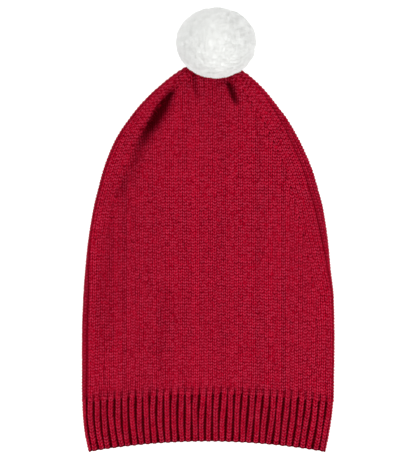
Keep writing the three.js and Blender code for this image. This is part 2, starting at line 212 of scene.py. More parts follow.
# %% [markdown]
# ## The form of the hat
#
# Everything sewn or knitted follows one surface: the outside of the hat, as a function of how far
# up a piece a point lies and how far round it. The tables are those of the solids, with a row for
# each section or fold, and every length in them is a share of a size named here.
#
# A fold runs from start to end down the crown and from near to far across it, and its depth fades
# out from full on. Its last four columns are for the painted shade in the yarn's colour alone: how
# dark that shade is, how far it reaches up the right bank, and where along the fold it sets in and
# is pale again. The left flank has no dip of its own, only a faint painted shade, because it turns
# away from the light.

# %% Sizes and tables, in millimetres and shares
HALF_WIDTH = 101
CUFF_LENGTH = 41.5
CROWN_LENGTH = 268.5
KNIT_WALL = 2.6
EDGE_RADIUS = 4.6
PUFF_HEIGHT = 10
HEM_ARC = 9.2
RIB_PITCH = 5.65
SEAM_INSET = 8
FOLD_DEPTH = 6
FOLD_WIDTH = 5
GATHER_DEPTH = 1.1
GATHER_COUNT = 7
TIP_RADIUS = 4.267
TIP_LIFT = 8
TIP_OFFSET_X = 0.012

Section = namedtuple("Section", "at left right edge puff lift seam_left seam_right")
CROWN_SECTIONS = [
    Section(0.0, 0.998, 0.99, 1.0, 0.95, 0, 0.5, 0.12),
    Section(0.18, 0.998, 0.996, 1.0, 1.0, 0, 0.55, 0.12),
    Section(0.3, 0.988, 0.99, 1.0, 1.0, 0, 0.55, 0.15),
    Section(0.385, 0.972, 0.966, 1.0, 1.0, 0, 0.36, 0.32),
    Section(0.475, 0.947, 0.943, 1.0, 0.98, 0, 0.2, 0.65),
    Section(0.563, 0.908, 0.907, 1.0, 0.96, 0, 0.18, 0.85),
    Section(0.622, 0.871, 0.867, 1.0, 0.95, 0, 0.2, 0.92),
    Section(0.681, 0.828, 0.82, 1.02, 0.95, 0, 0.22, 0.95),
    Section(0.741, 0.768, 0.752, 1.06, 0.95, 0, 0.24, 0.93),
    Section(0.782, 0.713, 0.697, 1.1, 0.96, 0, 0.25, 0.88),
    Section(0.83, 0.626, 0.622, 1.16, 0.97, 0, 0.25, 0.78),
    Section(0.871, 0.539, 0.539, 1.25, 0.92, 0, 0.25, 0.62),
    Section(0.907, 0.446, 0.464, 1.4, 0.77, 0, 0.25, 0.5),
    Section(0.942, 0.337, 0.372, 1.62, 0.5, 0.03, 0.22, 0.4),
    Section(0.96, 0.275, 0.314, 1.76, 0.32, 0.12, 0.2, 0.3),
    Section(0.978, 0.2, 0.234, 1.82, 0.15, 0.3, 0.15, 0.2),
    Section(0.991, 0.12, 0.145, 1.6, 0.03, 0.56, 0.08, 0.1),
    Section(
        1.0,
        TIP_RADIUS / HALF_WIDTH - TIP_OFFSET_X,
        TIP_RADIUS / HALF_WIDTH + TIP_OFFSET_X,
        TIP_RADIUS / EDGE_RADIUS,
        0,
        1,
        0,
        0,
    ),
]
CUFF_SECTIONS = [
    Section(0.0, 0.95, 0.927, 1.0, 0.9, 0, 0.38, 0.12),
    Section(0.35, 0.98, 0.956, 1.0, 0.92, 0, 0.42, 0.12),
    Section(0.7, 0.995, 0.978, 1.0, 0.94, 0, 0.46, 0.12),
    CROWN_SECTIONS[0]._replace(at=1.0),
]
Fold = namedtuple("Fold", "name start end near far bow depth width full shade soft dark pale")
FOLDS = [
    Fold("main", 0.945, 0.58, 0.16, 0.09, 0.02, 1.2, 0.7, 0.4, 1.25, 2.5, 0.1, 0.6),
    Fold("left pucker", 0.965, 0.87, 0.28, 0.44, 0, 0.45, 0.4, 0.2, 0.4, 1.5, 0.15, 0.9),
    Fold("right pucker", 0.957, 0.86, 0.67, 0.7, 0, 0.7, 0.5, 0.3, 0.95, 1.4, 0.2, 1.0),
    Fold("left sag", 0.6, 0.2, 0.16, 0.13, 0, 0.22, 1, 0.3, 0.06, 1.5, 0, 1),
    Fold("low crease", 0.34, 0.02, 0.32, 0.31, 0, 0.18, 1.1, 0.3, 0.12, 1.5, 0, 1),
    Fold("left flank", 0.66, 0.05, 0.1, 0.075, 0, 0, 1.4, 0.3, 0.14, 1.5, 0, 1),
]
FOLD_SPREAD = 1.6
FOLD_RUN_IN = (-0.05, 0.12)
LIP_SHADE = 0.6  # reach of a shade on the left bank, in the fold's own widths
SHADE_RISE = 0.03  # half of the stretch in which a shade sets in
SHADE_WIDENING = 0.15  # the stretch in which it grows to its full width
SHADE_NARROWEST = 0.45
SHADE_PALING = 0.3  # the stretch in which it turns pale
SHADE_POWER = 2.2
TAIL_SHADE = 0.19  # share of the shade that still trails on past its pale end
TAIL_FADE = (0.85, 1.05)
PUFF_POWER = 2.5
SIDE_REACH = 2
BOW_REACH = 0.6
GATHER_RISE = (0.86, 0.965)
GATHER_FALL = (0.97, 0.995)
QUARTER = math.pi / 2
print(len(CROWN_SECTIONS), "sections of the crown and", len(FOLDS), "folds")


# %% The tables as smooth curves
def smoothstep(value, low, high):
    t = np.clip((value - low) / (high - low), 0, 1)
    return t * t * (3 - 2 * t)


def between(ends, t):
    """The value at this share of the way from the first of two ends to the second."""
    return ends[0] + (ends[1] - ends[0]) * t


def follow(rows, column):
    """One column of a table as a smooth function of how far up it is."""
    x = np.array([row.at for row in rows])
    y = np.array([getattr(row, column) for row in rows], float)
    slope = np.diff(y) / np.diff(x)
    both = slope[:-1] * slope[1:]
    bent = np.where(both > 0, 2 * both / np.where(both > 0, slope[:-1] + slope[1:], 1), 0)
    tangent = np.concatenate([slope[:1], bent, slope[-1:]])

    def value(at):
        i = np.clip(np.searchsorted(x, at) - 1, 0, len(slope) - 1)
        step = x[i + 1] - x[i]
        t = np.clip((at - x[i]) / step, 0, 1)
        rise = y[i + 1] - y[i]
        early = step * tangent[i] - rise
        late = rise - step * tangent[i + 1]
        return y[i] + t * rise + t * (1 - t) * (early * (1 - t) + late * t)

    return value


Sizes = namedtuple("Sizes", "left right edge puff lift seam_left seam_right face")


class Knit:
    """The crown or the cuff: its section at any share of its length, and its folds."""

    def __init__(self, base, length, rows, folds):
        self.base = base
        self.length = length
        self.folds = folds
        self.track = {column: follow(rows, column) for column in Section._fields[1:]}

    def section(self, share):
        track = {column: curve(share) for column, curve in self.track.items()}
        left = -track["left"] * HALF_WIDTH
        right = track["right"] * HALF_WIDTH
        edge = track["edge"] * EDGE_RADIUS
        return Sizes(
            left,
            right,
            edge,
            track["puff"] * PUFF_HEIGHT,
            track["lift"] * TIP_LIFT,
            track["seam_left"] * SEAM_INSET,
            track["seam_right"] * SEAM_INSET,
            right - left - 2 * edge + math.pi * edge,
        )


CUFF = Knit(0, CUFF_LENGTH, CUFF_SECTIONS, [])
CROWN = Knit(CUFF_LENGTH, CROWN_LENGTH, CROWN_SECTIONS, FOLDS)
print("The front is", round(float(CROWN.section(np.array(0.0)).face), 1), "mm round at the cuff")


# %% Folds, gathers and the outside of the hat
def fold_lines(folds, share, section, x):
    """Each fold with how far along it a point lies, and how far to the right of its line."""
    for fold in folds:
        along = (fold.start - share) / (fold.start - fold.end)
        t = np.clip(along, 0, 1)
        across = fold.near + (fold.far - fold.near) * t + fold.bow * 4 * t * (1 - t)
        yield fold, along, x - section.left - (section.right - section.left) * across


def fold_dip(folds, share, section, x):
    dip = 0
    for fold, along, beside in fold_lines(folds, share, section, x):
        bank = fold.width * FOLD_WIDTH * np.where(beside > 0, FOLD_SPREAD, 1)
        run = smoothstep(along, *FOLD_RUN_IN) * (1 - smoothstep(along, fold.full, 1))
        dip = dip + fold.depth * FOLD_DEPTH * run * np.exp(-((beside / bank) ** 2))
    return dip


def fold_shade(folds, share, section, x):
    """Painted shade of the folds, where little light reaches: sharp under the left lip, softer up the right
    bank.
    """
    shade = 0
    for fold, along, beside in fold_lines(folds, share, section, x):
        bank = fold.width * FOLD_WIDTH * np.where(beside > 0, fold.soft, LIP_SHADE)
        bank = bank * between((SHADE_NARROWEST, 1), smoothstep(along, fold.dark, fold.dark + SHADE_WIDENING))
        set_in = smoothstep(along, fold.dark - SHADE_RISE, fold.dark + SHADE_RISE)
        paled = smoothstep(along, fold.pale - SHADE_PALING, fold.pale)
        tail = TAIL_SHADE * (1 - smoothstep(along, *TAIL_FADE))
        run = set_in * (1 - paled * (1 - tail))
        shade = shade + fold.shade * run * np.exp(-(np.abs(beside / bank) ** SHADE_POWER))
    return shade


def gather_ripple(share, across):
    strength = smoothstep(share, *GATHER_RISE) * (1 - smoothstep(share, *GATHER_FALL))
    return GATHER_DEPTH * strength * np.cos(math.pi * GATHER_COUNT * across)


def outside(knit, share, arc):
    """Points of the outside, at shares of a piece's length and at arcs round it from its left side."""
    section = knit.section(share)
    left, right, edge, puff, lift, _, _, face = section
    arc = np.mod(arc, 2 * face)
    front = arc < face
    from_left = np.where(front, arc, 2 * face - arc)
    from_side = np.minimum(from_left, face - from_left)
    bend = np.minimum(from_side / edge, QUARTER)
    inset = edge * (1 - np.cos(bend)) + np.maximum(0, from_side - edge * QUARTER)
    x = np.where(from_left < face / 2, left + inset, right - inset)
    half = (right - left) / 2
    across = (x - (left + right) / 2) / half
    y = knit.base + share * knit.length
    on_top = np.minimum(1, np.abs(across) * half / np.maximum(1e-3, half - edge))
    relief = -fold_dip(knit.folds, share, section, x)
    if knit is CROWN:
        relief = relief + gather_ripple(share, across)
    raised = puff * (1 - on_top**PUFF_POWER) + relief * smoothstep(inset, 0, SIDE_REACH * edge)
    z = lift + edge + np.where(front, edge * np.sin(bend) + raised, -edge * np.sin(bend))
    bowed = CUFF_LENGTH + BOW_REACH * CROWN_LENGTH
    bow = HEM_ARC * np.maximum(0, 1 - y / bowed) * (1 - across * across)
    return np.stack([x, y + bow, z + np.zeros_like(y)], axis=-1)


NUDGE = 0.3  # how far off a point its neighbours lie that show which way the surface faces


def lifted(knit, share, arc, height):
    """Points that stand this high off the outside, or lie as deep in it where height is below 0."""
    over = outside(knit, share, arc + NUDGE) - outside(knit, share, arc - NUDGE)
    step = NUDGE / knit.length
    up = outside(knit, share + step, arc) - outside(knit, share - step, arc)
    normal = np.cross(over, up)
    normal /= np.linalg.norm(normal, axis=-1, keepdims=True)
    return outside(knit, share, arc) + normal * height[..., None]


def arc_to_inset(inset, edge):
    """Arc from a side's outermost line to a point this far in from the outline."""
    round_fold = edge * np.arccos(np.clip(1 - inset / edge, -1, 1))
    return np.where(inset < edge, round_fold, edge * (QUARTER - 1) + inset)


def seam_arcs(section, is_front):
    left = arc_to_inset(section.seam_left, section.edge)
    right = section.face - arc_to_inset(section.seam_right, section.edge)
    return (left, right) if is_front else (right, 2 * section.face + left)


PANELS = ((True, "front"), (False, "back"))


# %% [markdown]
# The solids are shifted so that the origin is the middle of the hat's footprint. The hidden tie
# lies exactly on the ring at the tip, so its box says how far that shift is.

# %% The shift from the tables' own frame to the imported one
TIP = np.array([TIP_OFFSET_X * HALF_WIDTH, CUFF_LENGTH + CROWN_LENGTH, TIP_LIFT + TIP_RADIUS])
tie_low, tie_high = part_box("pompom_tie")
tie_middle = np.array((tie_low + tie_high) / 2) / MM
SHIFT = np.array([tie_middle[0] - TIP[0], tie_middle[1] - TIP[1], 0])
print("Shift of the hat, in mm:", SHIFT.round(3))

# %% [markdown]
# ## Yarn
#
# The yarn is a soft two-ply wool mix, red with a bluish cast. Close up its plies wind round each
# other, with painted shade in the grooves between them. Loose fibres catch the light: a faint sheen
# gives that, and a painted highlight, a paler, pinker red in spots on the middle of some strands,
# where they bulge up to the light. Where a strand tucks under its neighbour little light reaches
# it, so each strand carries a painted shade by how deep it lies, as an attribute, and the shade of
# the folds and seams is painted into the same attribute. Strands differ a little in tone, and so do
# whole columns of stitches, and one leg of each V is painted lighter, as if lit from one side.


# %% Finish of the yarn
def yarn(name, colour, highlight_colour, shade_colour):
    board = Board(name)
    around, along = board.split(board.add("ShaderNodeUVMap", {"uv_map": "strand"}))
    plies = (around * (2 * math.tau) + along * (1.2 * math.tau)).sine() * 0.5 + 0.5
    place = board.add("ShaderNodeTexCoord", out="Object")
    fibres = board.noise(place, 2600, 3)
    mottle = board.noise(place, 800, 1)
    clouds = board.noise(place, 28)
    # painted shade: the ply grooves are darker in the colour, as well as bumped
    grain = plies * 0.2 + fibres * 0.25 + mottle * 0.3 + clouds * 0.3
    tone = board.attribute("tone") * 0.5 + grain + 0.22
    # painted highlight: a paler, pinker red on the middle of the strands, in spots picked by the mottle
    middle = ((along * math.pi).sine() * 3.2 - 2.4).clamped()
    highlit = (mottle * 5.0 - 1.9).clamped()
    lit = board.mix(middle * highlit * 0.65, board.brighten(colour, tone), (*highlight_colour, 1))
    # painted shade: the colour is darkened towards a dark red where little light reaches
    shaded = board.mix(board.attribute("painted_shade").clamped(), lit, (*shade_colour, 1))
    return board.finish(
        Base_Color=shaded,
        Roughness=0.85,
        Sheen_Weight=0.08,
        Sheen_Roughness=0.45,
        Sheen_Tint=(1, 0.04, 0.12, 1),
        Specular_IOR_Level=0,
        Normal=board.bump(plies * 0.7 + fibres * 0.5, 0.25 * MM, 0.7),
    )


RED = (0.292, 0.0002, 0.011)
# the colour of the painted highlight on the middle of the strands
HIGHLIGHT_RED = (0.47, 0.036, 0.086)
# the colour of painted shade, where strands lie deep or in folds and seams
SHADE_RED = (0.045, 0.0001, 0.0015)
red_yarn = yarn("red_yarn", RED, HIGHLIGHT_RED, SHADE_RED)


# %% Finish of the fabric behind the stitches
WALE = 3.4
COURSE = 2.4


def backing(name, colour):
    """The inside of the knit: rows of purl bumps, half a wale wide and a course high."""
    board = Board(name)
    place = board.add("ShaderNodeTexCoord", out="Object")
    x, y = board.split(place)
    wales = (x * (math.tau / (WALE * MM))).sine()
    courses = (y * (math.tau / (COURSE * MM)) + wales * 1.2).sine() * 0.5 + 0.5
    fibres = board.noise(place, 1800, 3)
    # painted shade: darker between the purl bumps, which also bump the surface
    lit = board.brighten(colour, courses * 0.5 + fibres * 0.6 + 0.3)
    return board.finish(
        Base_Color=lit,
        Roughness=0.9,
        Specular_IOR_Level=0,
        Normal=board.bump(courses + fibres * 0.4, 0.6 * MM),
    )


# painted shade: the backing is a darker red than the yarn, for the shade the far loops lie in, and the
# cuff's is nearly black, for the shade in the rib grooves
fabric_finish = backing("red_fabric", (0.18, 0.001, 0.008))
groove_shade_finish = backing("red_groove_shade", (0.06, 0.0004, 0.002))

# %% [markdown]
# ## The fabric behind the stitches
#
# Real knit has no backing, but the eye sees the far half of each loop between the near ones. A
# sheet with the hat's form, a little under the surface, stands for it, in a red painted darker than
# the yarn for the shade that those loops lie in, and makes the inside of the hat whole where one
# looks in at the mouth. It starts as a grid, takes the form of the panel and gets its wall with
# Solidify. On the cuff it is pleated as the ribs are, and painted nearly black for the shade in the
# rib grooves.


# %% Sheets of fabric
def add_piece(mesh, replaced=()):
    """The finished mesh as an object of the hat and the solids it stands for."""
    piece = bpy.data.objects.new(mesh.name, mesh)
    bpy.context.scene.collection.objects.link(piece)
    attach(piece, "root")
    if replaced:
        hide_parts(*replaced)
    print(mesh.name, "has", sum(len(face.vertices) - 2 for face in mesh.polygons), "triangles")
    return piece


def fabric(name, knit, is_front, cells, depth, wall, finish):
    """A panel's sheet from seam to seam. Depth says how deep it lies, by the shares across and up."""
    sheet = bmesh.new()
    bmesh.ops.create_grid(sheet, x_segments=cells[0], y_segments=cells[1], size=0.5)
    flat = np.array([vert.co for vert in sheet.verts]) + 0.5
    share = 1 - (1 - flat[:, 1]) ** ROW_CROWDING if knit is CROWN else flat[:, 1]
    first, last = seam_arcs(knit.section(share), is_front)
    arc = first + (last - first) * flat[:, 0]
    points = (lifted(knit, share, arc, -depth(flat[:, 0], share)) + SHIFT) * MM
    for vert, point in zip(sheet.verts, points):
        vert.co = point
    mesh = bpy.data.meshes.new(name)
    sheet.to_mesh(mesh)
    sheet.free()
    mesh.materials.append(finish)
    mesh.shade_smooth()
    piece = add_piece(mesh, [name.replace("_fabric", "")])
    solid = piece.modifiers.new("wall", "SOLIDIFY")
    solid.thickness = wall * MM
    solid.offset = -1
    return piece


ROW_CROWDING = 1.6
STITCH_ROOM = 1.3  # of the wall, taken up by the stitches
GROOVE_DIP = 1.3
GROOVE_FADE = (0.5, 6.5)  # the grooves of the ribs run out this far up the crown
RIB_DIP = 1.5
RIB_ROOM = 0.3  # more room for the thicker stitches of the ribs
PLEAT_BANKS = (0.45, 0.9)  # where a groove's bank starts and ends, from ridge to groove
PLEATED_WALL = 1.0
CROWN_CELLS = (64, 80)
CELLS_PER_RIB = 4
CUFF_ROWS = 8


def crown_depth(across, share):
    return STITCH_ROOM + GROOVE_DIP * (1 - smoothstep(share * CROWN_LENGTH, *GROOVE_FADE))


RIBS = {}
for is_front in (True, False):
    first, last = seam_arcs(CUFF.section(np.array(1.0)), is_front)
    RIBS[is_front] = round(float(last - first) / RIB_PITCH)


def cuff_depth(is_front):
    def depth(across, share):
        from_ridge = np.abs(np.mod(across * RIBS[is_front], 1) - 0.5) * 2
        return STITCH_ROOM + RIB_ROOM + RIB_DIP * smoothstep(from_ridge, *PLEAT_BANKS)

    return depth


for is_front, side in PANELS:
    wall = KNIT_WALL - STITCH_ROOM
    fabric(
        f"crown_{side}_fabric", CROWN, is_front, CROWN_CELLS, crown_depth, wall, fabric_finish
    )
    cells = (CELLS_PER_RIB * RIBS[is_front], CUFF_ROWS)
    depth = cuff_depth(is_front)
    fabric(f"cuff_{side}_fabric", CUFF, is_front, cells, depth, PLEATED_WALL, groove_shade_finish)

# %% [markdown]
# ## One strand, many times
#
# A knitted stitch shows on the front as a V of two legs. Each leg is a short bent strand whose
# ends go behind its neighbours, so one tube with a few rings is enough: it is made once, as a
# cone whose long edges are cut, and then every vertex of every copy is worked out at once from
# where its stitch lies. That gives one joined mesh, which is far lighter than thousands of
# objects. Each copy has its own cell of the baking map, so that no two strands share a colour.


# %% The strand and its joined copies
class Strand:
    """A closed tube from 0 to 1 along Z, of radius 1 or pointed, with a flat map of its faces."""

    SIDE_LEVELS = (0.1, 0.9)
    END_LEVELS = (0.04, 0.96)
    END_SIZE = (0.45, 0.03)

    def __init__(self, sides, rings, pointed=False):
        tube = bmesh.new()
        bmesh.ops.create_cone(
            tube,
            cap_ends=True,
            cap_tris=False,
            segments=sides,
            radius1=1,
            radius2=0 if pointed else 1,
            depth=1,
        )
        bmesh.ops.remove_doubles(tube, verts=tube.verts, dist=1e-4)
        bmesh.ops.translate(tube, verts=tube.verts, vec=(0, 0, 0.5))
        long_edges = [edge for edge in tube.edges if abs(edge.verts[0].co.z - edge.verts[1].co.z) > 0.5]
        bmesh.ops.subdivide_edges(tube, edges=long_edges, cuts=rings - 2)
        tube.verts.index_update()
        points = np.array([vert.co for vert in tube.verts])
        self.along = points[:, 2]
        self.offset = points[:, :2]
        self.corners = [[vert.index for vert in face.verts] for face in tube.faces]
        self.flat = np.concatenate([self.unroll(face) for face in tube.faces])
        tube.free()

    def unroll(self, face):
        """Where a face's corners lie on the flat map: the side in its middle, the ends above and below."""
        middle = face.calc_center_median()
        if abs(face.normal.z) > 0.9:
            wide, high = self.END_SIZE
            level = self.END_LEVELS[round(middle.z)]
            return np.array([(0.5 + vert.co.x * wide, level + vert.co.y * high) for vert in face.verts])
        heading = math.atan2(middle.y, middle.x)
        spots = []
        for vert in face.verts:
            turn = 0.0
            if vert.co.xy.length > 1e-6:
                turn = math.atan2(vert.co.y, vert.co.x) - heading
                turn = (turn + math.pi) % math.tau - math.pi
            around = ((heading + turn) / math.tau) % 1.0001  # so that a whole turn isn't made 0
            spots.append((around, between(self.SIDE_LEVELS, vert.co.z)))
        return np.array(self.unwrapped(spots))

    @staticmethod
    def unwrapped(spots):
        """A face that runs over the map's end is kept whole."""
        widest = max(u for u, _ in spots)
        return [(u + 1 if widest - u > 0.5 else u, v) for u, v in spots]


CELL_MARGIN = 0.05  # of a cell of the baking map
MAP_WIDTH = 1.25  # how wide a strand's flat map can be, with faces that run over its end


def joined(name, strand, points, tone, painted_shade, finish):
    """One mesh of all copies. Points has an axis for the copies, one for a strand's vertices and XYZ."""
    copies, size = points.shape[:2]
    corners = np.concatenate([np.array(face) for face in strand.corners])
    sides = np.array([len(face) for face in strand.corners])
    mesh = bpy.data.meshes.new(name)
    mesh.vertices.add(copies * size)
    mesh.vertices.foreach_set("co", ((points + SHIFT) * MM).ravel())
    mesh.loops.add(copies * len(corners))
    mesh.loops.foreach_set("vertex_index", (corners + size * np.arange(copies)[:, None]).ravel())
    starts = np.concatenate([[0], np.cumsum(sides)[:-1]])
    mesh.polygons.add(copies * len(sides))
    mesh.polygons.foreach_set("loop_start", (starts + len(corners) * np.arange(copies)[:, None]).ravel())
    mesh.update(calc_edges=True)
    cells = math.ceil(math.sqrt(copies))
    cell = np.stack([np.arange(copies) % cells, np.arange(copies) // cells], axis=-1)
    room = 1 - 2 * CELL_MARGIN
    spread = CELL_MARGIN + strand.flat[None] * np.array([room / MAP_WIDTH, room])
    atlas = mesh.uv_layers.new(name="OFBake")
    atlas.uv.foreach_set("vector", ((cell[:, None] + spread) / cells).ravel())
    own = mesh.uv_layers.new(name="strand")
    own.uv.foreach_set("vector", np.tile(strand.flat, (copies, 1)).ravel())
    for label, values in (("tone", tone), ("painted_shade", painted_shade)):
        layer = mesh.attributes.new(label, "FLOAT", "POINT")
        layer.data.foreach_set("value", np.broadcast_to(values, (copies, size)).ravel())
    mesh.materials.append(finish)
    mesh.shade_smooth()
    return mesh


def swell(t, ends):
    """How thick a strand is along itself: whole in its middle, and this share of it at its ends."""
    return ends + (1 - ends) * np.sin(math.pi * t)


def shaded(height, depths):
    """Painted shade by depth: 0 for what lies above the first of two depths, 1 for what lies below the
    second.
    """
    return np.clip((-height - depths[0]) / (depths[1] - depths[0]), 0, 1)


# %% [markdown]
# ## Where the stitches lie
#
# Courses run across and wales run up. As the crown narrows, wales end: the four next to each seam
# follow it all the way up, as on a fashioned jumper, and the ones in the middle stand upright
# until the seam's band reaches them. There each wale in turn gets narrower until it ends, and the
# four wales beside it share the little room that it leaves.

# %% Wales of one course
BAND_WALES = 4
FIRST_SEAM, LAST_SEAM, MIDDLE = range(3)
NARROWEST = 0.4
SHARERS = 4  # wales that share the room of one that has ended


def middle_arc(section, is_front):
    """Arc of the middle line of the whole hat, from which upright wales keep their distance."""
    bent = section.edge * (QUARTER - 1)
    return bent - section.left if is_front else 2 * section.face - bent + section.left


def beside_end(room, place):
    """Shift towards an ended wale, and width, of the wale that is this many places beside it."""
    if room > NARROWEST or place >= SHARERS / 2:
        return 0, 1
    return room * (0.5 - (place + 0.5) / SHARERS), 1 + room / SHARERS


def lay_course(knit, share, is_front):
    """One row (anchor, offset, width) for each wale of a course."""
    section = knit.section(np.array(share))
    first, last = seam_arcs(section, is_front)
    width = float(last - first)
    if width < (2 * BAND_WALES + 1) * WALE:
        count = max(4, round(width / WALE))
        pitch = width / count
        return [(FIRST_SEAM, (i + 0.5) * pitch, pitch / WALE) for i in range(count)]
    origin = float(middle_arc(section, is_front))
    low = (float(first) - origin) / WALE + BAND_WALES
    high = (float(last) - origin) / WALE - BAND_WALES
    start, end = math.ceil(low), math.floor(high)
    room_low, room_high = start - low, high - end
    wales = []
    for anchor, room, sign in ((FIRST_SEAM, room_low, 1), (LAST_SEAM, room_high, -1)):
        for i in range(BAND_WALES):
            shift, wide = beside_end(room, BAND_WALES - 1 - i)
            wales.append((anchor, sign * (i + 0.5 + shift) * WALE, wide))
        if room > NARROWEST:
            wales.append((anchor, sign * (BAND_WALES + room / 2) * WALE, room))
    for i in range(start, end):
        after_low, wide_low = beside_end(room_low, i - start)
        before_high, wide_high = beside_end(room_high, end - 1 - i)
        wales.append((MIDDLE, (i + 0.5 - after_low + before_high) * WALE, wide_low * wide_high))
    return wales


def arc_of(knit, share, anchor, offset, is_front):
    section = knit.section(share)
    first, last = seam_arcs(section, is_front)
    return np.choose(anchor, [first, last, middle_arc(section, is_front)]) + offset


# %% [markdown]
# A leg starts low beside its wale's middle line, leans outwards and ends behind the next stitch.
# Its middle bulges to the very surface, and its ends are sunk. No two wales are quite level, so
# each is shifted a little up or down. Beside a seam the stitches turn down into a groove, which is
# deepest near the cuff.

# %% Legs of the stockinette
LEG_SPAN = (-0.8, 0.82)  # of a course, below and above its middle
LEG_LEAN = (0.09, 0.38)  # of a wale, at the lower and the upper end
LEG_RADIUS = 0.8
LEG_ENDS = 0.52
LEG_FLATNESS = 0.85
LEG_SINK = 0.7
SINK_POWER = 2.2
# depths below the surface over which a leg's painted shade grows from none to full
LEG_SHADE_DEPTHS = (0.35, 1.85)
SEAM_DIP = 1.5
SEAM_REACH = 0.95
# painted shade in the seams' grooves, as a share of how deep they dip
SEAM_SHADE = 0.6
LEFT_PULL = (1.3, 0.7)  # share of the dip at the left seam, at the cuff and at the tip
RIGHT_PULL = (1.2, 0.3)
GROOVE_BANKS = (0.4, 0.95)
MEAN_TONE = 0.5
STITCH_TONE = 0.16
WALE_TONE = 0.11
LIT_SIDE_TONE = 0.06
WALE_RISE = 0.16  # of a course
HIGHEST_RISE = 0.45
THICKNESS_SHAKE = 0.05
SIDE_SHAKE = 0.07
COURSE_SHAKE = 0.05
WALES_EACH = 100  # places in the list of tones for the wales that hang on one anchor
rng = np.random.default_rng(24)
WALE_TONES = rng.standard_normal(4 * WALES_EACH)


def legs(knit, is_front, low, high, strand):
    """All legs of a panel's courses from share low to share high: points, tones and painted shade."""
    course = COURSE / knit.length
    rows = []
    for k in range(-1, int(knit.length / COURSE)):
        share = (k + 0.5) * course
        if low <= max(share, 0) < high:
            rows += [(share, *wale) for wale in lay_course(knit, share, is_front)]
    rows = np.array(rows)
    share, anchor, offset, wide = np.repeat(rows, 2, axis=0).T
    side = np.tile([-1, 1], len(rows))
    wale = np.floor(offset / WALE).astype(int) + WALES_EACH * anchor.astype(int)
    tone = MEAN_TONE + WALE_TONE * WALE_TONES[wale] + STITCH_TONE * rng.standard_normal(len(share))
    # painted light: one leg of each V is a little lighter than the other, as if lit from one side
    tone = tone + LIT_SIDE_TONE * side
    rise = np.clip(WALE_RISE * WALE_TONES[::-1][wale], -HIGHEST_RISE, HIGHEST_RISE)
    shake = np.repeat(rng.standard_normal((len(rows), 3)), 2, axis=0)
    t = strand.along[None]
    radius = LEG_RADIUS * swell(t, LEG_ENDS) * (wide * (1 + THICKNESS_SHAKE * shake[:, 0]))[:, None]
    lean = between(LEG_LEAN, smoothstep(t, 0, 1)) * WALE * wide[:, None]
    sideways = side[:, None] * lean + strand.offset[None, :, 0] * radius + SIDE_SHAKE * shake[:, 1:2]
    courses_up = between(LEG_SPAN, t) + COURSE_SHAKE * shake[:, 2:3] + rise[:, None]
    up = np.minimum(share[:, None] + courses_up * course, 1)
    deep = LEG_SINK * np.abs(2 * t - 1) ** SINK_POWER
    arc = arc_of(knit, up, anchor.astype(int)[:, None], offset[:, None] + sideways, is_front)
    height = strand.offset[None, :, 1] * radius * LEG_FLATNESS - LEG_RADIUS * LEG_FLATNESS - deep
    dip = seam_dip(knit, up, arc, is_front) + groove_dip(up, arc, is_front)
    shade = fold_shade(knit.folds, up, knit.section(up), outside(knit, up, arc)[..., 0])
    # painted shade: deep leg ends, the seams' grooves and, on the front, the folds darken the yarn
    painted_shade = shaded(height, LEG_SHADE_DEPTHS) + SEAM_SHADE * dip / SEAM_DIP + (shade if is_front else 0)
    return lifted(knit, up, arc, height - dip), tone[:, None], np.clip(painted_shade, 0, 1)


def seam_dip(knit, share, arc, is_front):
    """How far stitches this far round are drawn down by the two seams of their panel."""
    section = knit.section(share)
    first, last = seam_arcs(section, is_front)
    pull_first, pull_last = (LEFT_PULL, RIGHT_PULL) if is_front else (RIGHT_PULL, LEFT_PULL)
    near_first = between(pull_first, share) * np.exp(-(((arc - first) / SEAM_REACH) ** 2))
    near_last = between(pull_last, share) * np.exp(-(((last - arc) / SEAM_REACH) ** 2))
    return SEAM_DIP * (near_first + near_last)


def groove_dip(share, arc, is_front):
    """The ribs' grooves run out in the first courses of the crown."""
    first, last = seam_arcs(CROWN.section(share), is_front)
    from_ridge = np.abs(np.mod((arc - first) / (last - first) * RIBS[is_front], 1) - 0.5) * 2
    fade = 1 - smoothstep(share * CROWN_LENGTH, *GROOVE_FADE)
    return GROOVE_DIP * fade * smoothstep(from_ridge, *GROOVE_BANKS)


front_strand = Strand(sides=5, rings=4)
back_strand = Strand(sides=4, rings=3)
PART_SPLIT = 0.42  # where the stitches are parted, so that no piece has too many triangles
for is_front, side in PANELS:
    strand = front_strand if is_front else back_strand
    for part, low, high in (("lower", 0, PART_SPLIT), ("upper", PART_SPLIT, 1)):
        made = legs(CROWN, is_front, low, high, strand)
        add_piece(joined(f"crown_{side}_stitches_{part}", strand, *made, red_yarn))

# %% [markdown]
# ## The ribbed cuff
#
# In a rib of one knit and one purl stitch, the knit wales draw together and stand up as round
# ridges while the purl wales sink between them out of sight. So only the ridges get legs, wider
# and on a rounded back, and the pleated fabric behind them, painted nearly black with the shade in
# the grooves, is what shows dark there. The ridges aren't ruled lines: each sways a little on its
# way up.

# %% Legs of the ribs
RIB_WALE = 4.5
RIB_LEG_RADIUS = 0.98
RIB_LEAN = (0.04, 0.43)
RIB_ROUNDING = 1.1
# depths below the surface over which a rib leg's painted shade grows from none to full
RIB_SHADE_DEPTHS = (0.6, 2.8)
RIB_TONE = 0.12
RIB_TONE_TURN = 2.4  # from one rib to the next, in radians
RIB_STITCH_TONE = 0.15
RIB_COURSE_SHAKE = 0.04
RIB_COURSES = 17
RIB_SWAY = 0.22
RIB_START = 0.7  # the legs start this far above the hem, where the cast-on edge lies


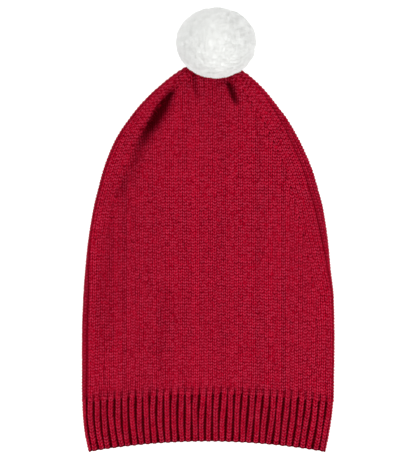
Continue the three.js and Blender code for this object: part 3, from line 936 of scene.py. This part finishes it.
def rib_legs(is_front, strand):
    ribs = RIBS[is_front]
    rows = np.array([(k, i) for k in range(RIB_COURSES) for i in range(ribs)], float)
    course, rib = np.repeat(rows, 2, axis=0).T
    side = np.tile([-1, 1], len(rows))
    tone = MEAN_TONE + RIB_TONE * np.sin(rib * RIB_TONE_TURN)
    tone = tone + RIB_STITCH_TONE * rng.standard_normal(len(rib))
    shake = np.repeat(rng.standard_normal((len(rows), 3)), 2, axis=0)
    t = strand.along[None]
    radius = RIB_LEG_RADIUS * swell(t, LEG_ENDS) * (1 + THICKNESS_SHAKE * shake[:, :1])
    lean = between(RIB_LEAN, smoothstep(t, 0, 1)) * RIB_WALE
    sideways = side[:, None] * lean + strand.offset[None, :, 0] * radius + SIDE_SHAKE * shake[:, 1:2]
    courses_up = course[:, None] + 0.5 + between(LEG_SPAN, t) + RIB_COURSE_SHAKE * shake[:, 2:]
    up = np.maximum(courses_up / RIB_COURSES, RIB_START / CUFF_LENGTH)
    section = CUFF.section(up)
    first, last = seam_arcs(section, is_front)
    squeeze = (last - first) / (ribs * RIB_PITCH)
    sway = RIB_SWAY * (np.sin(7 * up + 2.1 * rib[:, None]) + np.sin(3 * up + 0.9 * rib[:, None] ** 2))
    arc = first + (last - first) * (rib[:, None] + 0.5) / ribs + sideways * squeeze + sway
    rounding = RIB_ROUNDING * (sideways / (RIB_WALE / 2)) ** 2
    deep = LEG_SINK * np.abs(2 * t - 1) ** SINK_POWER + rounding
    height = strand.offset[None, :, 1] * radius * LEG_FLATNESS - RIB_LEG_RADIUS * LEG_FLATNESS - deep
    return lifted(CUFF, up, arc, height), tone[:, None], shaded(height, RIB_SHADE_DEPTHS)


for is_front, side in PANELS:
    made = rib_legs(is_front, front_strand)
    add_piece(joined(f"cuff_{side}_ribs", front_strand, *made, red_yarn))

# %% [markdown]
# The hem ends in the cast-on edge: a row of loops that lie over each other like a twisted cord and
# tie the ribs together. Short slanting strands along the edge, three to a rib, make it. They hang
# a little lower under the ridges and draw back in the grooves, and they carry more painted shade
# than the ribs, even where they stand highest, so the hem shows a dark line.

# %% Cast-on edge
EDGE_LOOPS = 3
EDGE_LOOP_RADIUS = 0.62
EDGE_LOOP_ENDS = 0.6
EDGE_LOOP_SPAN = 1.9  # of the pitch of the loops, so that they lie over each other
EDGE_LOOP_RISE = 0.35
EDGE_LOOP_SINK = 0.5
EDGE_UP = 0.35
EDGE_KNOB = 0.28
EDGE_DIP = 0.9
EDGE_DEPTH = 0.9
# depths over which the cast-on loops' painted shade grows from none to full; it starts above them, so the
# whole hem is painted dark
EDGE_SHADE_DEPTHS = (-0.8, 1.6)
EDGE_TONE = 0.45
EDGE_LOOP_TONE = 0.15


def edge_loops(is_front, strand):
    count = RIBS[is_front] * EDGE_LOOPS
    first, last = seam_arcs(CUFF.section(np.array(0.0)), is_front)
    pitch = float(last - first) / count
    t = strand.along[None]
    radius = EDGE_LOOP_RADIUS * swell(t, EDGE_LOOP_ENDS)
    arc = float(first) + pitch * (np.arange(count)[:, None] + 0.5 + EDGE_LOOP_SPAN * (t - 0.5))
    in_groove = np.cos(math.tau * (arc - float(first)) / (pitch * EDGE_LOOPS))
    up = EDGE_UP + EDGE_KNOB * in_groove + EDGE_LOOP_RISE * (2 * t - 1) + strand.offset[None, :, 0] * radius
    sunk = EDGE_DEPTH + EDGE_DIP * (0.5 + 0.5 * in_groove) + EDGE_LOOP_SINK * (2 * t - 1) ** 2
    height = strand.offset[None, :, 1] * radius - sunk
    tone = EDGE_TONE + EDGE_LOOP_TONE * rng.standard_normal((count, 1))
    share = np.broadcast_to(up / CUFF_LENGTH, arc.shape)
    return lifted(CUFF, share, arc, height), tone, shaded(height, EDGE_SHADE_DEPTHS)


for is_front, side in PANELS:
    made = edge_loops(is_front, front_strand)
    add_piece(joined(f"cuff_{side}_edge", front_strand, *made, red_yarn))

# %% [markdown]
# ## The pompom
#
# It is a ball of soft cut pile, wider than it is high, pressed a little flat by the table and
# dented where the tip of the hat pushes into it. Its pile stands in tufts with shallow clefts
# between them. A soft core nearly fills it, and thousands of fine pointed strands stand out of
# that by a millimetre or so, each leaning towards the middle of its tuft. They blur into a fleece
# in the light, so they take their shading from the ball that they make up, and the faint streaks
# of the yarn are in their colour.

# %% Size and tufts of the pompom
POMPOM_RADII = np.array([31, 28, 27])
POMPOM_SINK = 1
POMPOM_OFFSET_X = 5
POMPOM_OVERLAP = 15
POMPOM_MIDDLE = np.array(
    [TIP[0] + POMPOM_OFFSET_X, TIP[1] - POMPOM_OVERLAP + POMPOM_RADII[1], POMPOM_RADII[2] - POMPOM_SINK]
)
TUFTS = 230
TUFT_SHAKE = 0.06
TUFT_REACH_SHAKE = 0.005
CLEFT = 0.013
CLEFT_END = 1.2  # a cleft is deepest this far from a tuft's middle, in the tuft's own radii
GOLDEN_ANGLE = math.pi * (3 - math.sqrt(5))


def round_about(count, shake):
    """Directions spread evenly over a ball, each shaken a little."""
    i = np.arange(count)
    z = 1 - (2 * i + 1) / count
    ring = np.sqrt(1 - z * z)
    even = np.stack([ring * np.cos(i * GOLDEN_ANGLE), ring * np.sin(i * GOLDEN_ANGLE), z], axis=-1)
    return unit(even + shake * rng.standard_normal((count, 3)))


def unit(vectors):
    return vectors / np.linalg.norm(vectors, axis=-1, keepdims=True)


tuft_ways = round_about(TUFTS, TUFT_SHAKE)
tuft_reach = 1 + TUFT_REACH_SHAKE * rng.standard_normal(TUFTS)


def pile_radius(ways):
    """How far the pile reaches these ways, as a share of the pompom's radii, and each one's tuft."""
    nearness = ways @ tuft_ways.T
    nearest = nearness.argmax(axis=1)
    spread = np.arccos(np.clip(nearness.max(axis=1), -1, 1)) / (2 / math.sqrt(TUFTS))
    return tuft_reach[nearest] * (1 - CLEFT * np.clip(spread, 0, CLEFT_END) ** 2), nearest


def inside_crown(points, gap):
    """True where a point lies in the hat's tip, grown by a gap."""
    share = (points[..., 1] - CUFF_LENGTH) / CROWN_LENGTH
    section = CROWN.section(np.clip(share, 0, 1))
    x = points[..., 0]
    inset = np.minimum(x - section.left, section.right - x) + gap
    bend = np.arccos(np.clip(1 - inset / section.edge, 0, 1))
    top = section.lift + section.edge * (1 + np.sin(bend)) + section.puff + gap
    low = section.lift + section.edge * (1 - np.sin(bend)) - gap
    return (inset > 0) & (share < 1 + gap / CROWN_LENGTH) & (points[..., 2] < top) & (points[..., 2] > low)


# %% Finish of the pile
def fluff(name, colour):
    """Soft white yarn, with faint streaks that run along the hat, and painted shade greying it at the roots.
    """
    board = Board(name)
    place = board.add("ShaderNodeTexCoord", out="Object")
    clouds = board.noise(place, 90)
    drawn = board.add("ShaderNodeMapping", None, {"Vector": place, "Scale": (1, 0.2, 0.2)})
    streaks = board.noise(drawn, 350)
    tone = board.attribute("tone") * 0.06 + clouds * 0.05 + streaks * 0.1 + 0.785
    lit = board.brighten(colour, tone)
    # painted shade: greyer at the roots of the strands and on the core
    root_shaded = board.mix((board.attribute("painted_shade") * 0.12).clamped(), lit, (0.8, 0.81, 0.77, 1))
    return board.finish(
        Base_Color=root_shaded,
        Roughness=0.9,
        Sheen_Weight=0.75,
        Sheen_Roughness=0.6,
        Specular_IOR_Level=0,
        Normal=board.bump(board.noise(place, 3000, 2), 0.1 * MM, 0.5),
    )


white_pile = fluff("white_pile", (0.95, 0.96, 0.935))

# %% Core of the pompom
CORE_SHARE = 0.955
CORE_ROOM = 1.0  # between the core and the hat's tip, and between the core and the table
PUSHES = 30
PUSH_STEP = 0.97
ball = bmesh.new()
bmesh.ops.create_icosphere(ball, subdivisions=5, radius=1)
ways = np.array([vert.co for vert in ball.verts])
reach = CORE_SHARE * pile_radius(ways)[0]
points = POMPOM_MIDDLE + ways * reach[:, None] * POMPOM_RADII
for _ in range(PUSHES):
    caught = inside_crown(points, CORE_ROOM)
    points[caught] = POMPOM_MIDDLE + (points[caught] - POMPOM_MIDDLE) * PUSH_STEP
points[:, 2] = np.maximum(points[:, 2], CORE_ROOM)
for vert, point in zip(ball.verts, (points + SHIFT) * MM):
    vert.co = point
core = bpy.data.meshes.new("pompom_core")
ball.to_mesh(core)
ball.free()
# the core lies under the strands, so it takes their painted shade in full
for label, value in (("tone", MEAN_TONE), ("painted_shade", 1.0)):
    layer = core.attributes.new(label, "FLOAT", "POINT")
    layer.data.foreach_set("value", np.full(len(core.vertices), value))
core.materials.append(white_pile)
core.shade_smooth()
add_piece(core, ["pompom"])

# %% Pile of the pompom
PILE_COUNT = 20000
PILE_RADIUS = 0.46
PILE_RADIUS_SHAKE = 0.2
PILE_RINGS_UP = 0.6  # the less this power is, the nearer to its end a strand has its middle ring
PILE_POINT = 4  # the higher this power is, the blunter the point
PILE_BOW = 0.5
PILE_ROOTING = 0.06  # how deep in the core a strand starts
PILE_CLUMPING = 0.1
PILE_BLOOM = np.array([1.03, 1, 1])  # the loose ends stand out a little more at the sides
PILE_LIFT = 0.05  # above the table
ROOT_SHAKE = 0.008
TIP_SHAKE = 0.014
REACH_SHAKE = 0.01
PILE_TONE = 0.25
NECK_GAP = 0.5  # kept between the hat's tip and a strand, 70 % of the way up the strand
pile_strand = Strand(sides=3, rings=3, pointed=True)


def pile(count):
    """Points, tones and painted shade of the pile's strands, and the normals of the ball that they make up.
    """
    ways = round_about(count, ROOT_SHAKE)
    reach, nearest = pile_radius(ways)
    reach = reach * (1 + REACH_SHAKE * rng.standard_normal(count))
    gathered = ways + PILE_CLUMPING * (tuft_ways[nearest] - ways)
    tips = unit(gathered + TIP_SHAKE * rng.standard_normal((count, 3)))
    root = POMPOM_MIDDLE + ways * (CORE_SHARE - PILE_ROOTING) * POMPOM_RADII
    tip = POMPOM_MIDDLE + tips * reach[:, None] * POMPOM_RADII * PILE_BLOOM
    free = ~inside_crown(tip, 0.0) & ~inside_crown(root * 0.3 + tip * 0.7, NECK_GAP)
    root, tip = root[free], tip[free]
    axis = tip - root
    across = unit(np.cross(axis, rng.standard_normal(axis.shape)))
    over = unit(np.cross(axis, across))
    t = pile_strand.along[None, :, None] ** PILE_RINGS_UP
    bow = across[:, None] * (4 * t * (1 - t)) * PILE_BOW
    thick = PILE_RADIUS * (1 + PILE_RADIUS_SHAKE * rng.standard_normal(len(root)))[:, None, None]
    blunt = 1 - pile_strand.along**PILE_POINT
    turned = pile_strand.offset / np.maximum(np.linalg.norm(pile_strand.offset, axis=1, keepdims=True), 1e-6)
    ring = (across[:, None] * turned[None, :, :1] + over[:, None] * turned[None, :, 1:]) * blunt[:, None]
    points = root[:, None] + axis[:, None] * t + bow + ring * thick
    points[..., 2] = np.maximum(points[..., 2], PILE_LIFT)
    tone = MEAN_TONE + PILE_TONE * rng.standard_normal(len(root))
    # painted shade: full at a strand's root, none at its tip
    return points, tone[:, None], 1 - pile_strand.along[None], unit(points - POMPOM_MIDDLE)


points, tone, painted_shade, normals = pile(PILE_COUNT)
half = len(points) // 2
for part, chosen in (("far", slice(0, half)), ("near", slice(half, None))):
    mesh = joined(f"pompom_pile_{part}", pile_strand, points[chosen], tone[chosen], painted_shade, white_pile)
    mesh.normals_split_custom_set_from_vertices(normals[chosen].reshape(-1, 3))
    add_piece(mesh)

# %% [markdown]
# ## The tie
#
# A few plies of yarn draw the tip shut and hold the pompom. They are hidden inside it, so the
# solid stays and only gets the yarn's colour and twist.


# %% Finish of the tie
TWIST = (1500, 2600)  # turns of the shade along X and Y, in radians to a metre


def twisted(name, colour):
    board = Board(name)
    place = board.add("ShaderNodeTexCoord", out="Object")
    x, y = board.split(place)
    turns = (x * TWIST[0] + y * TWIST[1]).sine() * 0.5 + 0.5
    fibres = board.noise(place, 2600, 3)
    # painted shade: darker in the grooves of the twist, which also bump it
    lit = board.brighten(colour, turns * 0.4 + fibres * 0.5 + 0.4)
    return board.finish(Base_Color=lit, Roughness=0.85, Normal=board.bump(turns + fibres * 0.5, 0.3 * MM))


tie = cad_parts["pompom_tie"]
tie.data.materials.clear()
tie.data.materials.append(twisted("red_tie_yarn", RED))
